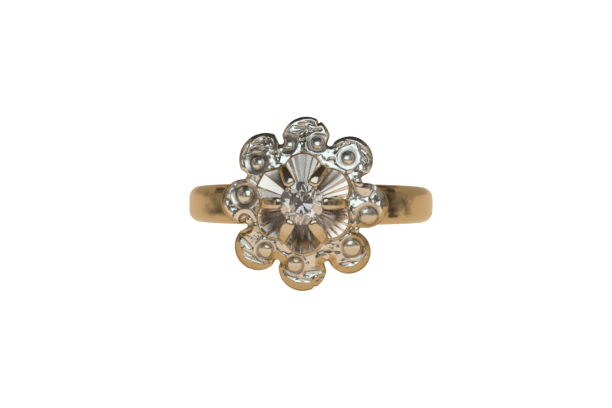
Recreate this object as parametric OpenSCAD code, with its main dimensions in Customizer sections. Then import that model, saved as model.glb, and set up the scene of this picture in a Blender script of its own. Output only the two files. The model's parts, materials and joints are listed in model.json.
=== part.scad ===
// Ring with an eight-petal flower head, a scalloped cup with six claws and one round brilliant.
// It lies on its side: the lowest petal and the back of the band touch the plane z = 0.
// The pieces are drawn in two frames: the ring frame has the finger hole along Z and the head towards -Y,
// and the head frame has Z outwards along the head, with its zero at the middle of the finger hole.

/* [Band] */
// Inside radius of the band, half of the finger size
finger_r = 8.65; // [7.5:0.05:10.5]
// Thickness of the band's wall
wall_t = 1.4; // [1.1:0.1:1.8]
// Width of the band under the head
head_w = 3.35; // [3:0.05:4]
// Width of the band at the back
back_w = 2.4; // [2.2:0.05:3]
// Rounding of the band's outer edges
edge_r = 0.85; // [0.6:0.05:0.9]

/* [Gallery] */
// Height of the gallery's top above the middle of the finger hole
gallery_h = 12.05; // [11.8:0.05:12.6]
// Outside radius of the gallery's top
gallery_r = 3.6; // [3.5:0.05:3.65]

/* [Flower] */
// Thickness of the plate
plate_t = 0.8; // [0.7:0.05:1]
// Height of a petal's crown above its middle plane
crown_h = 0.75; // [0.6:0.05:0.9]
// How far the petals lean back, in degrees
lean_back = 10; // [5:1:14]
// Radius of the plate under the petals
plate_r = 5.6; // [5.2:0.1:5.8]
// Width of the notches between the petals
notch_w = 0.52; // [0.3:0.02:0.6]

/* [Setting] */
// Number of claws, and of the fan scoops between them
claws = 6; // [6:1:6]
// Radius of one scallop of the cup
scallop_r = 1.6; // [1.5:0.05:1.65]
// Distance from the head's axis to the middle of a scallop
scallop_at = 2.4; // [2.35:0.05:2.45]
// Height of the cup's rim above the middle of the finger hole
rim_h = 14.1; // [13.9:0.1:14.4]
// Thickness of the cup's rim
rim_t = 0.2; // [0.15:0.05:0.3]
// Radius of a claw
claw_r = 0.46; // [0.4:0.02:0.5]

/* [Stone] */
// Diameter of the stone
stone_d = 3.4; // [3.2:0.1:3.6]
// Height of the stone's girdle above the middle of the finger hole
girdle_h = 15.2; // [15:0.1:15.4]
// Width of the table as a part of the diameter
table_part = 0.54; // [0.5:0.01:0.58]

/* [Hidden] */
$fn = 96;

// Clearance between neighbouring pieces
gap = 0.04;
// A length longer than the whole ring
far = 40;

band_r = finger_r + wall_t;
taper = atan((head_w - back_w) / 4 / band_r);
mid_w = (head_w + back_w) / 2;
// The outer edges' rounding runs a little past the face, so that the two cross at a clear angle
edge_past = 0.12;
edge_at = band_r + edge_past - edge_r;
// At the back, the height of the rounding's middle and of the flat face's edge above the band's own middle
back_edge_z = mid_w / 2 - edge_at * tan(taper) - edge_r;
back_face_z = back_edge_z + sqrt(pow(edge_r, 2) - pow(edge_r - edge_past, 2));
// Side of the square that cuts the chamfer of the inner edges
comfort_cut = 0.36;

// The plate lies on the gallery, and the cup's neck goes through both
plate_h = gallery_h + gap + plate_t / 2;
// The petals' middle plane lies a little behind the plate's
petal_h = plate_h - 0.2;
neck_r = 2.9;
neck_h = gallery_h - 0.8;
cup_h = plate_h + plate_t / 2 + gap;
seat_r = scallop_at + scallop_r + gap;
foot_r = 1.1;
waist_r = 1.6;

// The stone's main facet angles, and the lengths of its star and lower facets as a part of their reach
crown_angle = 34.5;
pavilion_angle = 40.75;
star_part = 0.5;
lower_part = 0.75;
girdle_t = 0.12;
stone_r = stone_d / 2;
table_r = stone_r * table_part;
table_h = (stone_r - table_r) * tan(crown_angle);
culet_h = stone_r * tan(pavilion_angle);

// The middle of a claw's bead, from the head's axis and above the middle of the finger hole
claw_tip = [stone_r + 0.06, girdle_h + 0.16];
claw_foot = [3.35, rim_h - 0.4];

// The petals: angle round the head, distance from its axis, and radius, then the angle of the notch that follows
// each petal and the distance of the notch's floor from the axis
PETAL_ANGLE = 0;
PETAL_AT = 1;
PETAL_R = 2;
NOTCH_ANGLE = 3;
NOTCH_AT = 4;
petals = [
    [-1, 4.8, 1.78, 23.5, 4.9],
    [45, 4.98, 1.84, 67.5, 4.95],
    [89, 4.99, 1.92, 111, 5.05],
    [131.5, 4.69, 2.1, 154.5, 5.05],
    [178, 4.8, 1.78, 200, 4.75],
    [222.5, 4.99, 1.86, 245, 4.85],
    [268.5, 4.95, 1.9, 291, 4.8],
    [313, 5.08, 1.75, 335.5, 4.75],
];
LOWEST = 6;

// The ball bosses on the petals: angle round the head, distance from its axis, and radius
BOSS_ANGLE = 0;
BOSS_AT = 1;
BOSS_R = 2;
bosses = [
    [138, 4.9, 0.72],
    [101, 4.9, 0.66],
    [77, 5.0, 0.62],
    [45, 5.15, 0.66],
    [-10, 5.25, 0.74],
    [-39, 5.2, 0.72],
    [-96, 4.85, 0.72],
    [-128, 4.65, 0.72],
    [168, 4.65, 0.72],
];

// How the ring lies: the lowest petal's rolled edge and the band's back edge share one floor
petal_edge_r = plate_t / 2;
lowest = petals[LOWEST];
reach_y = petal_h - (lowest[PETAL_R] - petal_edge_r) * sin(lean_back) + edge_at;
reach_z = lowest[PETAL_AT] + (lowest[PETAL_R] - petal_edge_r) * cos(lean_back) - back_edge_z;
reach = norm([reach_y, reach_z]);
tilt = atan2(reach_z, reach_y) + asin((petal_edge_r - edge_r) / reach);
lift = edge_at * sin(tilt) + back_edge_z * cos(tilt) + edge_r;

// The origin lies below the middle of the ring's length
front_y = claw_tip[1] * cos(tilt) + claw_tip[0] * sin(60) * sin(tilt) + claw_r;
back_y = band_r * cos(tilt) + back_face_z * sin(tilt);
middle_y = (front_y - back_y) / 2;

// Stands the ring frame on the plane z = 0
module lying() {
    translate([0, middle_y, lift]) rotate([-tilt, 0, 0]) children();
}

// Turns the head frame into the ring frame
module on_head() {
    rotate([90, 0, 0]) children();
}

// One child at each of n even places round the head's axis
module round_head(n, start = 0) {
    for (i = [0 : n - 1]) rotate([0, 0, start + i * 360 / n]) children();
}

// A tall disc with a rounded upper edge, leaning by the taper, that bounds one side of the band
module band_side() {
    rotate([-taper, 0, 0]) rotate_extrude() difference() {
        union() {
            translate([0, -far / 4]) square([edge_at, far / 4 + mid_w / 2]);
            translate([0, -far / 4]) square([edge_at + edge_r, far / 4 + mid_w / 2 - edge_r]);
            translate([edge_at, mid_w / 2 - edge_r]) circle(edge_r);
        }
        translate([finger_r, mid_w / 2]) rotate(45) square(comfort_cut, center = true);
    }
}

// The flared cup that stands on the band and carries the flower and the setting
module gallery() {
    foot_h = band_r - 0.5;
    bell_h = band_r + 0.85;
    lip_h = gallery_h - 0.7;
    floor_h = band_r + 0.2;
    difference() {
        rotate_extrude() polygon([
            [0, foot_h],
            [foot_r, foot_h],
            [waist_r, band_r],
            [neck_r, bell_h],
            [gallery_r, lip_h],
            [gallery_r, gallery_h],
            [0, gallery_h],
        ]);
        translate([0, 0, neck_h - gap]) cylinder(r = neck_r + gap, h = far);
        translate([0, 0, floor_h]) cylinder(r1 = foot_r * 0.8, r2 = neck_r * 0.8, h = neck_h - floor_h);
    }
}

module band() {
    color("goldenrod") lying() union() {
        difference() {
            intersection() {
                cylinder(r = band_r, h = head_w * 2, center = true);
                band_side();
                mirror([0, 0, 1]) band_side();
            }
            cylinder(r = finger_r, h = far, center = true);
        }
        on_head() gallery();
    }
}

// A round disc with a rolled edge and a domed top
module petal(r) {
    flat_r = r - petal_edge_r;
    dome_rise = crown_h - petal_edge_r;
    dome_base_r = flat_r * 0.98;
    dome_r = (pow(dome_base_r, 2) + pow(dome_rise, 2)) / 2 / dome_rise;
    rotate_extrude() union() {
        translate([0, -petal_edge_r]) square([flat_r, plate_t]);
        translate([flat_r, 0]) circle(petal_edge_r);
        intersection() {
            translate([0, crown_h - dome_r]) circle(dome_r);
            square([dome_base_r, crown_h + 1]);
        }
    }
}

module plate() {
    rotate_extrude() union() {
        translate([0, -plate_t / 2]) square([plate_r - plate_t / 2, plate_t]);
        translate([plate_r - plate_t / 2, 0]) circle(plate_t / 2);
    }
}

// The slot with a round floor between two petals
module notch(at) {
    translate([at + notch_w / 2, 0, 0]) cylinder(d = notch_w, h = far);
    translate([at + notch_w / 2, -notch_w / 2, 0]) cube([far, notch_w, far]);
}

module flower() {
    boss_h = petal_h + crown_h / 2;
    color("silver") lying() on_head() difference() {
        union() {
            translate([0, 0, plate_h]) plate();
            for (p = petals)
                rotate([0, 0, p[PETAL_ANGLE]]) translate([p[PETAL_AT], 0, petal_h])
                    rotate([0, lean_back, 0]) petal(p[PETAL_R]);
            for (b = bosses)
                rotate([0, 0, b[BOSS_ANGLE]]) translate([b[BOSS_AT], 0, boss_h]) sphere(b[BOSS_R]);
        }
        for (p = petals) rotate([0, 0, p[NOTCH_ANGLE]]) notch(p[NOTCH_AT]);
        cylinder(r = neck_r + gap, h = far);
        translate([0, 0, plate_h + plate_t / 2]) cylinder(r = seat_r, h = far);
    }
}

// The six-lobed outline of the cup
module cup_outline() {
    round_head(claws, 30) translate([scallop_at, 0]) circle(scallop_r);
}

// A cone that starts under the stone and opens outwards and up, and stops inside the rim
module fan_scoop() {
    scoop_rise = 40;
    scoop_open = 24;
    scoop_l = 6;
    scoop_w = 2.4;
    start_at = 0.5;
    intersection() {
        translate([start_at, 0, cup_h])
            rotate([0, 90 - scoop_rise, 0]) cylinder(r1 = 0, r2 = scoop_l * tan(scoop_open), h = scoop_l);
        union() {
            translate([scallop_at, 0, 0]) cylinder(r = scallop_r - rim_t, h = far);
            translate([0, -scoop_w / 2, 0]) cube([scallop_at, scoop_w, far]);
        }
    }
}

// A half-round bar that leans in from the cup's rim and ends in a bead over the stone's edge
module claw() {
    run = claw_tip - claw_foot;
    translate([claw_foot[0], 0, claw_foot[1]]) rotate([0, atan2(run[0], run[1]), 0])
        cylinder(r = claw_r, h = norm(run));
    translate([claw_tip[0], 0, claw_tip[1]]) sphere(claw_r);
    translate([claw_foot[0], 0, cup_h]) cylinder(r = claw_r - gap, h = claw_foot[1] - cup_h);
}

// The round space round the stone
module stone_space() {
    translate([0, 0, girdle_h]) rotate_extrude() polygon([
        [0, -culet_h - girdle_t / 2 - gap],
        [stone_r + gap, -girdle_t / 2 - gap],
        [stone_r + gap, girdle_t / 2 + gap],
        [table_r + gap, table_h + girdle_t / 2 + gap],
        [0, table_h + girdle_t / 2 + gap],
    ]);
}

module setting() {
    floor_t = 0.45;
    neck_wall = 0.65;
    culet_hole_r = 0.8;
    hollow_h = cup_h - floor_t - neck_h;
    color("gainsboro") lying() on_head() difference() {
        union() {
            difference() {
                union() {
                    translate([0, 0, cup_h]) linear_extrude(rim_h - cup_h) cup_outline();
                    translate([0, 0, neck_h]) cylinder(r = neck_r, h = cup_h - neck_h + floor_t);
                }
                round_head(claws, 30) fan_scoop();
            }
            round_head(claws) claw();
        }
        stone_space();
        translate([0, 0, neck_h]) cylinder(r = culet_hole_r, h = girdle_h - neck_h);
        translate([0, 0, neck_h - hollow_h]) cylinder(r = neck_r - neck_wall, h = 2 * hollow_h);
    }
}

// The corners of one tier of the stone's facets
function tier(n, start, r, h) =
    [for (i = [0 : n - 1]) let (a = start + i * 360 / n) [r * cos(a), r * sin(a), h]];

module stone() {
    star_r = table_r * cos(22.5) * (1 - star_part) + stone_r * star_part;
    star_h = (stone_r - star_r * cos(22.5)) * tan(crown_angle);
    lower_r = stone_r * (1 - lower_part);
    lower_h = (stone_r - lower_r * cos(22.5)) * tan(pavilion_angle);
    corners = concat(
        tier(8, 0, table_r, girdle_t / 2 + table_h),
        tier(8, 22.5, star_r, girdle_t / 2 + star_h),
        tier(16, 0, stone_r, girdle_t / 2),
        tier(16, 0, stone_r, -girdle_t / 2),
        tier(8, 22.5, lower_r, -girdle_t / 2 - lower_h),
        [[0, 0, -girdle_t / 2 - culet_h]]
    );
    color("white") lying() on_head() translate([0, 0, girdle_h])
        hull() polyhedron(corners, [[for (i = [0 : len(corners) - 1]) i]]);
}

band();
flower();
setting();
stone();
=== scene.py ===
"""Looks of a gold ring: a plain shank, an eight-petal flower, a six-claw cup and a round brilliant."""

import json
from collections import namedtuple
from math import atan2, cos, degrees, hypot, pi, radians, sin, sqrt, tan

import bmesh
import bpy
import numpy as np
from mathutils import Matrix, Quaternion, Vector, kdtree


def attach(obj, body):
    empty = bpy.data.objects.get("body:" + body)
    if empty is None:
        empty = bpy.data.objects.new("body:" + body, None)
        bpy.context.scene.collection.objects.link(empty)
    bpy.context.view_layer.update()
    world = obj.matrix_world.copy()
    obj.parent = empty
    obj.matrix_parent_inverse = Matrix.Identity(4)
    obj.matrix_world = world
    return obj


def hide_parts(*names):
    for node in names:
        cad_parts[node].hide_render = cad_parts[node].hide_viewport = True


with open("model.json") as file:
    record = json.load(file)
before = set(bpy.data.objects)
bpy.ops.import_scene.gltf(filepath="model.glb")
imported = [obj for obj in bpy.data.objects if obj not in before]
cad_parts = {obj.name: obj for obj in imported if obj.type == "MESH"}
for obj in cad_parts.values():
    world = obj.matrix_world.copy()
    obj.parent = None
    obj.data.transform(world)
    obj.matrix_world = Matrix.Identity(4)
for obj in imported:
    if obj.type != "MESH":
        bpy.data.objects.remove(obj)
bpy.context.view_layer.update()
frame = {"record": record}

# The part's own axes, read from the finger hole that the record states
MM = 0.001
HOLE = next(m for m in frame["record"]["mounts"] if m["name"] == "finger_bore")
CENTRE = Vector(HOLE["pos_m"])
ACROSS = Vector((1, 0, 0))
FINGER_AXIS = Vector(HOLE["axis"]).normalized()
HEAD_AXIS = ACROSS.cross(FINGER_AXIS)


def axes_matrix(x, y, z):
    """Takes millimetres along three axes through the finger hole's middle to the part's metres."""
    turn = Matrix((x, y, z)).transposed().to_4x4()
    return Matrix.Translation(CENTRE) @ turn @ Matrix.Scale(MM, 4)


# The head's frame has z outwards along the head and y along the finger. The shank's has z along the finger.
HEAD = axes_matrix(ACROSS, FINGER_AXIS, HEAD_AXIS)
SHANK = axes_matrix(ACROSS, -HEAD_AXIS, FINGER_AXIS)

# The cup, claws and stone lean a little on the flower, to the left and up, from a height in the cup's foot
LEAN_LEFT = 0.045
LEAN_UP = 0.03
LEAN_H = 13
SHEAR = Matrix(((1, 0, -LEAN_LEFT, 0), (0, 1, LEAN_UP, 0), (0, 0, 1, 0), (0, 0, 0, 1)))
LEAN = Matrix.Translation((0, 0, LEAN_H)) @ SHEAR @ Matrix.Translation((0, 0, -LEAN_H))
SETTING = HEAD @ LEAN

# Sizes in millimetres, as the part is built. Heights are from the middle of the finger hole.
FINGER_R = 8.65
WALL = 1.4
HEAD_W = 3.35
BACK_W = 2.4
EDGE_R = 0.85
PLATE_H = 12.89
PLATE_T = 0.8
CUP_H = 12.93
RIM_H = 14.1
LOBES = 6
LOBE_AT = 2.4
LOBE_R = 1.6
WALL_FLARE = 0.15
STONE_R = 1.7
GIRDLE_H = 15.2
CLAW_W = 0.96
CLAW_DEPTH = 0.7
CLAW_FOOT = 3.22


def smooth_step(low, high, value):
    t = np.clip((value - low) / (high - low), 0, 1)
    return t * t * (3 - 2 * t)


def polar(angle, at):
    a = radians(angle)
    return at * cos(a), at * sin(a)


def turned(x, y, angle):
    """How far along a direction points lie, and how far to its left."""
    c, s = polar(angle, 1)
    return x * c + y * s, y * c - x * s


def distance(x, y, spot):
    """How far points lie from a petal, boss or bead, or from an angle and a distance."""
    sx, sy = polar(*spot[:2])
    return np.hypot(x - sx, y - sy)


def lumps(x, y, size, seed):
    """Smooth random heights from -1 to 1, in lumps of one size."""
    table = np.random.default_rng(seed).uniform(-1, 1, (64, 64))
    u, v = x / size + 31.7, y / size + 17.3
    i, j = np.floor(u).astype(int), np.floor(v).astype(int)
    fu, fv = smooth_step(0, 1, u - i), smooth_step(0, 1, v - j)
    low = table[i % 64, j % 64] * (1 - fu) + table[(i + 1) % 64, j % 64] * fu
    high = table[i % 64, (j + 1) % 64] * (1 - fu) + table[(i + 1) % 64, (j + 1) % 64] * fu
    return low * (1 - fv) + high * fv


def ring(around, r, h):
    """A level row of points round the axis, at given angles."""
    return np.stack([r * np.cos(around), r * np.sin(around), np.full(len(around), h)], axis=1)


def ring_faces(rows, columns):
    """Quads between rows of points. Each row is a closed ring, counter-clockwise seen from outside."""
    r, c = np.meshgrid(np.arange(rows - 1), np.arange(columns), indexing="ij")
    here, after = r * columns + c, r * columns + (c + 1) % columns
    return np.stack([here, here + columns, after + columns, after], axis=-1).reshape(-1, 4)


def put(name, data):
    """A new object in the scene that holds a mesh, a light or the camera."""
    made = bpy.data.objects.new(name, data)
    bpy.context.scene.collection.objects.link(made)
    return made


def new_piece(name, points, faces, matrix, smooth=True):
    mesh = bpy.data.meshes.new(name)
    mesh.from_pydata(np.asarray(points).tolist(), [], [list(map(int, f)) for f in faces])
    mesh.transform(matrix)
    mesh.polygons.foreach_set("use_smooth", [smooth] * len(mesh.polygons))
    mesh.update()
    return put(name, mesh)


def head_points(piece):
    """A piece's points in the head's own millimetres."""
    return np.array([HEAD.inverted() @ v.co for v in piece.data.vertices])


def give_values(piece, **values):
    """Writes one number a point under each name, for the materials to read."""
    for name, value in values.items():
        attribute = piece.data.attributes.new(name, "FLOAT", "POINT")
        attribute.data.foreach_set("value", np.asarray(value, np.float32).ravel())


def add(tree, kind, inputs=None, **settings):
    """One node. An input is a constant, or another node's output to link."""
    node = tree.nodes.new(kind)
    for name, value in settings.items():
        setattr(node, name, value)
    for name, value in (inputs or {}).items():
        if isinstance(value, bpy.types.NodeSocket):
            tree.links.new(value, node.inputs[name])
        else:
            node.inputs[name].default_value = value
    return node


def output(tree, kind, inputs=None, **settings):
    """The first output of a new node."""
    return add(tree, kind, inputs, **settings).outputs[0]


def math_node(tree, operation, *values):
    return output(tree, "ShaderNodeMath", dict(enumerate(values)), operation=operation)


def times(tree, a, b):
    return math_node(tree, "MULTIPLY", a, b)


def noise(tree, **inputs):
    return output(tree, "ShaderNodeTexNoise", inputs)


def new_group(name, kind, inputs, outputs):
    """A node group with named inputs and outputs, and the nodes that stand for them."""
    tree = bpy.data.node_groups.new(name, kind)
    for in_out, sockets in (("INPUT", inputs), ("OUTPUT", outputs)):
        for label, socket in sockets.items():
            tree.interface.new_socket(label, in_out=in_out, socket_type=socket)
    return tree, tree.nodes.new("NodeGroupInput"), tree.nodes.new("NodeGroupOutput")


# The flower. Angles are degrees counter-clockwise from the right. at is a distance from the head's axis.


# Each petal's disc, the width of its rolled rim, and the notch after it
Petal = namedtuple("Petal", "angle at radius roll notch floor")
PETALS = [
    Petal(-1, 4.8, 1.78, 0.52, 23.5, 4.9),
    Petal(45, 4.98, 1.84, 0.30, 67.5, 4.95),
    Petal(89, 4.99, 1.92, 0.24, 111, 5.05),
    Petal(131.5, 4.69, 2.1, 0.30, 154.5, 5.05),
    Petal(178, 4.8, 1.78, 0.38, 200, 4.75),
    Petal(222.5, 4.99, 1.86, 0.55, 245, 4.85),
    Petal(268.5, 4.95, 1.9, 0.6, 291, 4.8),
    Petal(313, 5.08, 1.75, 0.56, 335.5, 4.75),
]
NOTCH_W = 0.5

# Small nicks in the petals' outline
Nick = namedtuple("Nick", "angle depth width")
NICKS = [Nick(80.5, 0.24, 0.16), Nick(230.6, 0.09, 0.1), Nick(277, 0.13, 0.16), Nick(166, 0.07, 0.2)]

# Ball bosses, each in a shallow dish whose wall has a slope
Boss = namedtuple("Boss", "angle at radius rise dish slope")
BOSSES = [
    Boss(139, 4.95, 0.56, 0.36, 0.98, 0.46),
    Boss(105.5, 4.92, 0.52, 0.34, 0.88, 0.5),
    Boss(78, 4.93, 0.57, 0.36, 0.90, 0.44),
    Boss(47, 5.02, 0.55, 0.36, 0.95, 0.2),
    Boss(171.2, 4.77, 0.72, 0.42, 1.14, 0.5),
    Boss(230, 4.76, 0.62, 0.41, 0.86, 0.5),
    Boss(261.3, 4.82, 0.66, 0.43, 0.86, 0.5),
    Boss(-42.1, 5.07, 0.74, 0.46, 0.98, 0.5),
    Boss(-9.8, 5.12, 0.74, 0.37, 1.08, 0.5),
]

# Low beads by the notches
Bead = namedtuple("Bead", "angle at radius rise")
BEADS = [
    Bead(196.8, 4.52, 0.30, 0.30),
    Bead(-25.5, 4.62, 0.25, 0.16),
    Bead(22.6, 4.64, 0.38, 0.28),
    Bead(113.5, 4.72, 0.28, 0.14),
    Bead(-67, 4.45, 0.24, 0.12),
]

# A plain bowl in the right petal, and a ridge that hooks round a pocket in the left one. Both look down.
DIMPLE = namedtuple("Dimple", "angle at radius down deep")(15.8, 4.78, 0.76, 0.19, 0.13)
HOOK = namedtuple("Hook", "angle at radius width rise down middle pocket")(
    195.2, 4.85, 0.72, 0.22, 0.08, 0.20, 110, 0.2
)

# The engraver's larger cuts: from, to, width and how many degrees the cut face looks up. One that looks up
# is white with the light above it, a level one is dark and one that looks down takes the floor's tone.
Cut = namedtuple("Cut", "x0 y0 x1 y1 width up")
CUTS = [
    Cut(-3.98, -3.48, -5.14, -2.42, 0.44, 16),
    Cut(-4.05, -2.65, -4.6, -2.35, 0.16, 0),
    Cut(-2.66, -4.62, -3.95, -4.1, 0.38, 16),
    Cut(-4.0, -4.1, -4.9, -3.55, 0.16, 8),
    Cut(-3.6, -4.52, -4.75, -4.1, 0.12, 20),
    Cut(-3.6, -2.72, -3.95, -2.4, 0.16, 14),
    Cut(-3.35, -2.6, -3.65, -2.35, 0.12, 2),
    Cut(-0.5, -5.7, -1.68, -5.15, 0.42, 16),
    Cut(0.65, -6.0, -0.5, -5.78, 0.3, 16),
    Cut(1.68, -5.2, 0.02, -5.28, 0.32, 12),
    Cut(1.66, -5.55, 0.75, -6.08, 0.18, 18),
    Cut(1.2, -4.86, 0.45, -5.02, 0.16, 14),
    Cut(0.42, -4.48, 0.1, -4.56, 0.16, 16),
    Cut(3.55, -4.15, 2.85, -3.6, 0.26, 2),
    Cut(3.25, -3.78, 2.4, -3.68, 0.22, 16),
    Cut(4.4, -4.42, 2.75, -4.66, 0.28, 15),
    Cut(3.6, -4.3, 2.9, -4.32, 0.16, 17),
    Cut(4.85, -3.85, 4.5, -4.35, 0.18, 16),
    Cut(2.62, -3.1, 2.2, -3.06, 0.18, 15),
    Cut(2.35, -3.36, 1.95, -3.34, 0.12, 1),
    Cut(1.74, -3.9, 1.35, -3.95, 0.18, 10),
    Cut(-5.35, 0.2, -5.55, 1.05, 0.4, 10),
    Cut(-5.25, -0.55, -5.45, 0.1, 0.26, 12),
    Cut(-5.05, -1.25, -5.45, -0.8, 0.22, 14),
    Cut(5.36, 1.62, 5.4, 1.05, 0.24, 16),
    Cut(5.4, 1.12, 5.12, 0.66, 0.27, 16),
    Cut(5.22, 0.72, 4.3, 0.5, 0.3, 16),
    Cut(-1.45, 5.15, -0.35, 5.35, 0.24, -14),
    Cut(-1.3, 5.5, -0.1, 5.72, 0.22, -1),
    Cut(-0.85, 5.95, 0.35, 6.1, 0.2, -14),
    Cut(-0.75, 4.92, 0.2, 5.02, 0.22, -6),
    Cut(0.05, 5.42, 1.2, 5.62, 0.26, -14),
    Cut(0.25, 5.8, 1.35, 5.85, 0.2, -1),
    Cut(-0.6, 6.32, 0.6, 6.48, 0.16, -8),
    Cut(1.05, 5.42, 1.7, 5.3, 0.18, -10),
    Cut(-4.8, 3.75, -4.35, 4.45, 0.24, -12),
    Cut(-4.4, 4.0, -3.8, 4.5, 0.26, -14),
    Cut(-4.2, 4.65, -3.25, 4.85, 0.2, -2),
    Cut(-3.8, 4.25, -2.95, 4.35, 0.24, -14),
    Cut(-3.1, 4.5, -2.45, 4.35, 0.2, -2),
    Cut(2.25, 4.45, 3.4, 4.85, 0.2, -12),
    Cut(3.2, 5.0, 4.2, 4.75, 0.18, -1),
    Cut(4.25, 4.3, 4.9, 3.45, 0.22, -1),
    Cut(4.6, 4.45, 5.3, 3.5, 0.16, -12),
    Cut(4.75, 3.3, 4.85, 2.65, 0.2, -1),
]

# The petals' face: its height, how it falls outwards, less at the bottom, and how round it is across
FACE_H = 13.22
FALL_FROM = 4.1
FALL_START = 0.26
FALL_END = 0.42
FLATTER = 0.38
CROWN = 0.16

# The rolled rim with the low ridge inside it, and the plain back
ROLL_WAVER = 0.2
EDGE_WAVER = 0.012
FACE_DROP = 0.05
RIDGE_H = 0.03
BEVEL_SLOPE = 0.42
EDGE_DROP = 0.13
UNDER_R = 0.3
BACK_H = 11.62
INNER_R = 3.3

# Heights and depths of what is worked into the face
LIP_H = 0.04
DISH_STEP = 0.04
BEAD_SINK = 0.06
CUT_DEPTH = 0.035
COARSE = 0.095
FINE = 0.03
RIPPLE = 0.009
STROKES = 22

# How dirt and wear lie on it: the depth that holds full dirt, the line of dirt round a boss, and the warm
# reflection of the floor painted as gold in spots low down and on the underside of the low bosses
DIRT_DEPTH = 0.022
DIRT_RING = 1.2
PAINTED_WARM_SPOTS = 0.2
PAINTED_WARM_UNDERSIDE = 0.5

COLUMNS = 960
FACE_ROWS = 62


def notch_floor(angle):
    """Distance of the metal's edge from the axis between two petals, carried on smoothly round the head."""
    at = [p.notch for p in PETALS]
    return np.interp(angle % 360, at, [p.floor for p in PETALS], period=360)


def degrees_off(angle, way):
    """How far one direction is from another, either way round."""
    return np.abs((angle - way + 180) % 360 - 180)


def outline_side(x, y):
    """Less than zero inside the flower's outline and more than zero outside it."""
    angle = np.degrees(np.arctan2(y, x))
    reach = np.hypot(x, y)
    side = reach - notch_floor(angle)
    blend = 0.14
    for p in PETALS:
        disc = distance(x, y, p) - p.radius
        h = np.clip(0.5 + 0.5 * (side - disc) / blend, 0, 1)
        side = side * (1 - h) + disc * h - blend * h * (1 - h)
    for p in PETALS:
        along, off = turned(x, y, p.notch)
        slot = np.hypot(np.minimum(along - p.floor - NOTCH_W / 2, 0), off) - NOTCH_W / 2
        side = np.maximum(side, -slot)
    for n in NICKS:
        off = np.radians(degrees_off(angle, n.angle)) * reach
        side = side + n.depth * np.maximum(0, 1 - off / n.width)
    return side


def soften(values, passes):
    """Evens out values along their first axis, as if its end met its start."""
    for _ in range(passes):
        values = 0.25 * np.roll(values, 1, axis=0) + 0.5 * values + 0.25 * np.roll(values, -1, axis=0)
    return values


def outline(count):
    """Even points on the flower's outline, counter-clockwise."""
    angle = np.linspace(0, 2 * pi, 4800, endpoint=False)
    reach = np.linspace(4.3, 7.3, 1000)
    a, r = np.meshgrid(angle, reach, indexing="ij")
    inside = outline_side(r * np.cos(a), r * np.sin(a)) < 0
    last = inside.shape[1] - 1 - np.argmax(inside[:, ::-1], axis=1)
    edge = reach[last] + EDGE_WAVER * lumps(6 * np.cos(angle), 6 * np.sin(angle), size=0.5, seed=3)
    points = np.stack([edge * np.cos(angle), edge * np.sin(angle)], axis=1)
    closed = np.vstack([points, points[:1]])
    run = np.concatenate([[0], np.cumsum(np.hypot(*np.diff(closed, axis=0).T))])
    at = np.linspace(0, run[-1], count, endpoint=False)
    even = np.stack([np.interp(at, run, closed[:, k]) for k in (0, 1)], axis=1)
    return soften(even, 2)


def petal_mix(x, y):
    """The petals' plain surface and the width of their rolled rim, mixed smoothly across notches."""
    total = height = roll = 0
    reach = np.hypot(x, y)
    fall = FALL_START + (FALL_END - FALL_START) * smooth_step(4.0, 5.6, reach)
    fall = fall * (1 - FLATTER * smooth_step(-4, -6.4, y))
    for p in PETALS:
        along, off = turned(x, y, p.angle)
        weight = np.exp(-5 * (((along - p.at) ** 2 + off**2) / p.radius**2))
        total = total + weight
        height = height + weight * (FACE_H - fall * (reach - FALL_FROM) - CROWN * (off / p.radius) ** 2)
        roll = roll + weight * p.roll
    return height / total, roll / total


def cup_side(x, y):
    """Distance outside the foot of the cup and its claws."""
    side = np.full(np.shape(x), 9.0)
    for i in range(LOBES):
        side = np.minimum(side, distance(x, y, (60 * i + 30, LOBE_AT)) - (LOBE_R + WALL_FLARE))
        side = np.minimum(side, distance(x, y, (60 * i, CLAW_FOOT)) - CLAW_W / 2)
    return side


def raise_boss(height, smooth, x, y, b):
    """A round cap that leans with its petal and stands in a dish with a low lip."""
    d = distance(x, y, b)
    wall = smooth - b.slope * (b.dish - d)
    inside = smooth_step(b.dish + 0.05, b.dish - 0.05, d)
    lip = LIP_H * np.exp(-(((d - b.dish - 0.04) / 0.09) ** 2))
    height = height * (1 - inside) + wall * inside + lip
    floor = smooth - b.slope * (b.dish - b.radius) - DISH_STEP
    ball_r = (b.radius**2 + b.rise**2) / (2 * b.rise)
    cap = b.rise - ball_r + np.sqrt(np.maximum(ball_r**2 - d**2, 0))
    return np.where(d < b.radius, np.maximum(height, floor + cap), height)


def raise_bead(height, smooth, x, y, inside, b):
    """A low bead, and where it lies."""
    d = distance(x, y, b)
    ball = smooth - BEAD_SINK + b.rise * np.sqrt(np.maximum(1 - (d / b.radius) ** 2, 0))
    there = (d < b.radius) & (inside > 0.05)
    return np.where(there, np.maximum(height, ball), height), there


def cut_strokes(height, x, y, face):
    """Short gravers' cuts that follow each petal's outline, from one fixed seed."""
    dice = np.random.default_rng(11)
    for p in PETALS:
        px, py = polar(p.angle, p.at)
        for _ in range(STROKES):
            turn = p.angle + dice.uniform(-115, 115)
            out = dice.uniform(0.35, p.radius - p.roll - 0.02)
            ox, oy = polar(turn, out)
            run = turn + 90 + dice.normal(0, 26)
            length, width = dice.uniform(0.25, 0.6), dice.uniform(0.09, 0.19)
            depth = dice.uniform(0.04, 0.10)
            along, off = turned(x - (px + ox), y - (py + oy), run)
            off = off + 0.25 * along**2
            cut = np.maximum(0, 1 - np.abs(off) / width) * np.clip(1.2 - (along / length) ** 2, 0, 1)
            height = height - depth * cut * face
    return height


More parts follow.
